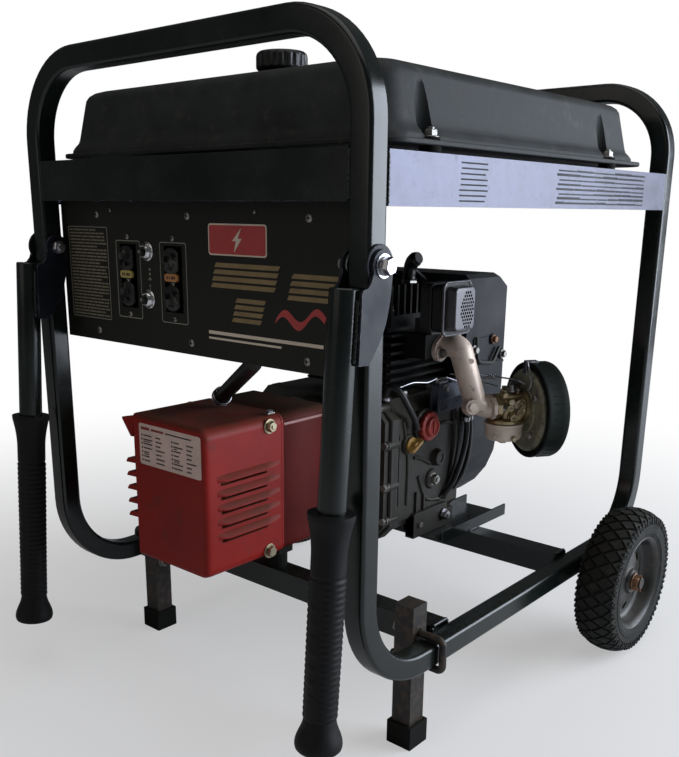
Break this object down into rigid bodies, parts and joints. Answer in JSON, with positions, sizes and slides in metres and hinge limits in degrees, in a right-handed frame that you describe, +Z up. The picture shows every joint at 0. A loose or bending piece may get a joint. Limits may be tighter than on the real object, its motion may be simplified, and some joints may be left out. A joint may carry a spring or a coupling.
{
  "type": "portable generator",
  "caption": "Engine-driven electric generator in a tubular cradle with a fuel tank, outlet panel, wheels, feet and fold-up lifting handles.",
  "frame": {"origin": "on the floor under the middle of the overall bounding box", "axes": "+Z up, -Y towards the control panel, +Y towards the wheels, +X to the right of a person facing the panel"},
  "size_m": [0.672, 0.7412, 0.765],
  "materials": {
    "frame_paint": "gloss black enamel over steel tube, chipped",
    "rail_paint": "satin blue-black enamel",
    "worn_steel": "scuffed dark paint with rust showing",
    "pad_rubber": "matt moulded rubber",
    "grip_rubber": "ribbed moulded rubber",
    "plated_steel": "zinc-plated, dull",
    "tyre_rubber": "treaded, dusty",
    "rim_paint": "satin black pressed steel",
    "tank_paint": "textured black-grey paint, faded",
    "black_plastic": "matt",
    "panel_paint": "matt dark brown-black print",
    "red_paint": "satin red enamel, dusty on top",
    "laminated_steel": "dark, varnished",
    "copper_winding": "varnished copper winding",
    "grey_casting": "oily grey-brown die casting",
    "dark_casting": "heat-darkened fins",
    "heat_paint": "matt heat-proof paint",
    "shroud_paint": "matt dark grey pressed steel",
    "intake_casting": "satin cast aluminium, stained",
    "brass_casting": "dull yellow metal",
    "pale_casting": "satin pale casting",
    "filter_cover": "matt dark green",
    "red_plastic": "moulded",
    "yellow_plastic": "moulded"
  },
  "bodies": {
    "frame": {"air_cleaner_base": "pale_casting", "air_filter": "filter_cover", "alternator_end_cover": "red_paint", "alternator_housing": "red_paint", "alternator_mount": "pad_rubber", "axle": "worn_steel", "blower_housing": "shroud_paint", "breather_hose": "black_plastic", "carburettor": "brass_casting", "control_panel": "panel_paint", "crankcase": "grey_casting", "cylinder_block": "dark_casting", "cylinder_head": "dark_casting", "engine_adapter": "grey_casting", "float_bowl": "pale_casting", "foot_pad_left": "pad_rubber", "foot_pad_right": "pad_rubber", "foot_post_left": "worn_steel", "foot_post_right": "worn_steel", "foot_ubolt_left": "worn_steel", "foot_ubolt_right": "worn_steel", "front_cross_rail": "frame_paint", "front_crossmember": "frame_paint", "front_hoop": "frame_paint", "fuel_tank": "tank_paint", "handle_bolt_left": "plated_steel", "handle_bolt_right": "plated_steel", "intake_elbow": "intake_casting", "muffler": "heat_paint", "outlet_left": "black_plastic", "outlet_right": "black_plastic", "rear_cross_rail": "frame_paint", "rear_crossmember": "frame_paint", "rear_hoop": "frame_paint", "recoil_starter": "shroud_paint", "side_rail_left": "rail_paint", "side_rail_right": "rail_paint", "spark_plug_boot": "black_plastic", "stator_core": "laminated_steel", "wiring_conduit": "black_plastic"},
    "handle_left": {"handle_tube_left": "frame_paint", "handle_grip_left": "grip_rubber"},
    "handle_right": {"handle_tube_right": "frame_paint", "handle_grip_right": "grip_rubber"},
    "wheel_left": {"wheel_rim_left": "rim_paint", "tyre_left": "tyre_rubber"},
    "wheel_right": {"wheel_rim_right": "rim_paint", "tyre_right": "tyre_rubber"},
    "cap": {"fuel_cap": "black_plastic"},
    "breaker_upper": {"breaker_button_upper": "black_plastic"},
    "breaker_lower": {"breaker_button_lower": "black_plastic"},
    "crank": {"crankshaft": "plated_steel", "rotor": "copper_winding", "flywheel": "laminated_steel"},
    "recoil": {"recoil_grip": "black_plastic"},
    "choke": {"choke_lever": "plated_steel"},
    "throttle": {"throttle_lever": "plated_steel"},
    "oil_cap": {"oil_fill_cap": "red_plastic"},
    "dipstick": {"dipstick_plug": "yellow_plastic"}
  },
  "joints": [
    {"name": "handle_left_fold", "type": "hinge", "parent": "frame", "child": "handle_left", "pos_m": [-0.2513, -0.28466, 0.546], "axis": [-1, 0, 0], "range_deg": [0, 86]},
    {"name": "handle_right_fold", "type": "hinge", "parent": "frame", "child": "handle_right", "pos_m": [0.2513, -0.28466, 0.546], "axis": [-1, 0, 0], "range_deg": [0, 86]},
    {"name": "wheel_left_spin", "type": "hinge", "parent": "frame", "child": "wheel_left", "pos_m": [-0.308, 0.22814, 0.1016], "axis": [1, 0, 0], "continuous": true},
    {"name": "wheel_right_spin", "type": "hinge", "parent": "frame", "child": "wheel_right", "pos_m": [0.308, 0.22814, 0.1016], "axis": [1, 0, 0], "continuous": true},
    {"name": "fuel_cap_turn", "type": "hinge", "parent": "frame", "child": "cap", "pos_m": [0, -0.12936, 0.75], "axis": [0, 0, 1], "range_deg": [0, 90]},
    {"name": "breaker_upper_press", "type": "slide", "parent": "frame", "child": "breaker_upper", "axis": [0, 1, 0], "range_m": [0, 0.003], "stiffness_N_per_m": 400, "springref_m": -0.001},
    {"name": "breaker_lower_press", "type": "slide", "parent": "frame", "child": "breaker_lower", "axis": [0, 1, 0], "range_m": [0, 0.003], "stiffness_N_per_m": 400, "springref_m": -0.001},
    {"name": "crankshaft_spin", "type": "hinge", "parent": "frame", "child": "crank", "pos_m": [-0.063, 0.00264, 0.261], "axis": [0, 1, 0], "continuous": true},
    {"name": "recoil_pull", "type": "slide", "parent": "frame", "child": "recoil", "axis": [-1, 0, 0], "range_m": [0, 0.5], "stiffness_N_per_m": 16, "springref_m": -0.35},
    {"name": "choke_turn", "type": "hinge", "parent": "frame", "child": "choke", "pos_m": [0.15301, 0.17783, 0.354], "axis": [0, 0, 1], "range_deg": [0, 50]},
    {"name": "throttle_turn", "type": "hinge", "parent": "frame", "child": "throttle", "pos_m": [0.14183, 0.16125, 0.358], "axis": [0, 0, 1], "range_deg": [0, 60], "stiffness_Nm_per_rad": 0.02, "springref_deg": -11.46},
    {"name": "oil_cap_turn", "type": "hinge", "parent": "frame", "child": "oil_cap", "pos_m": [0.066, 0.08864, 0.305], "axis": [1, 0, 0], "range_deg": [0, 90]},
    {"name": "dipstick_turn", "type": "hinge", "parent": "frame", "child": "dipstick", "pos_m": [0.066, 0.05464, 0.284], "axis": [1, 0, 0], "range_deg": [0, 90]}
  ]
}
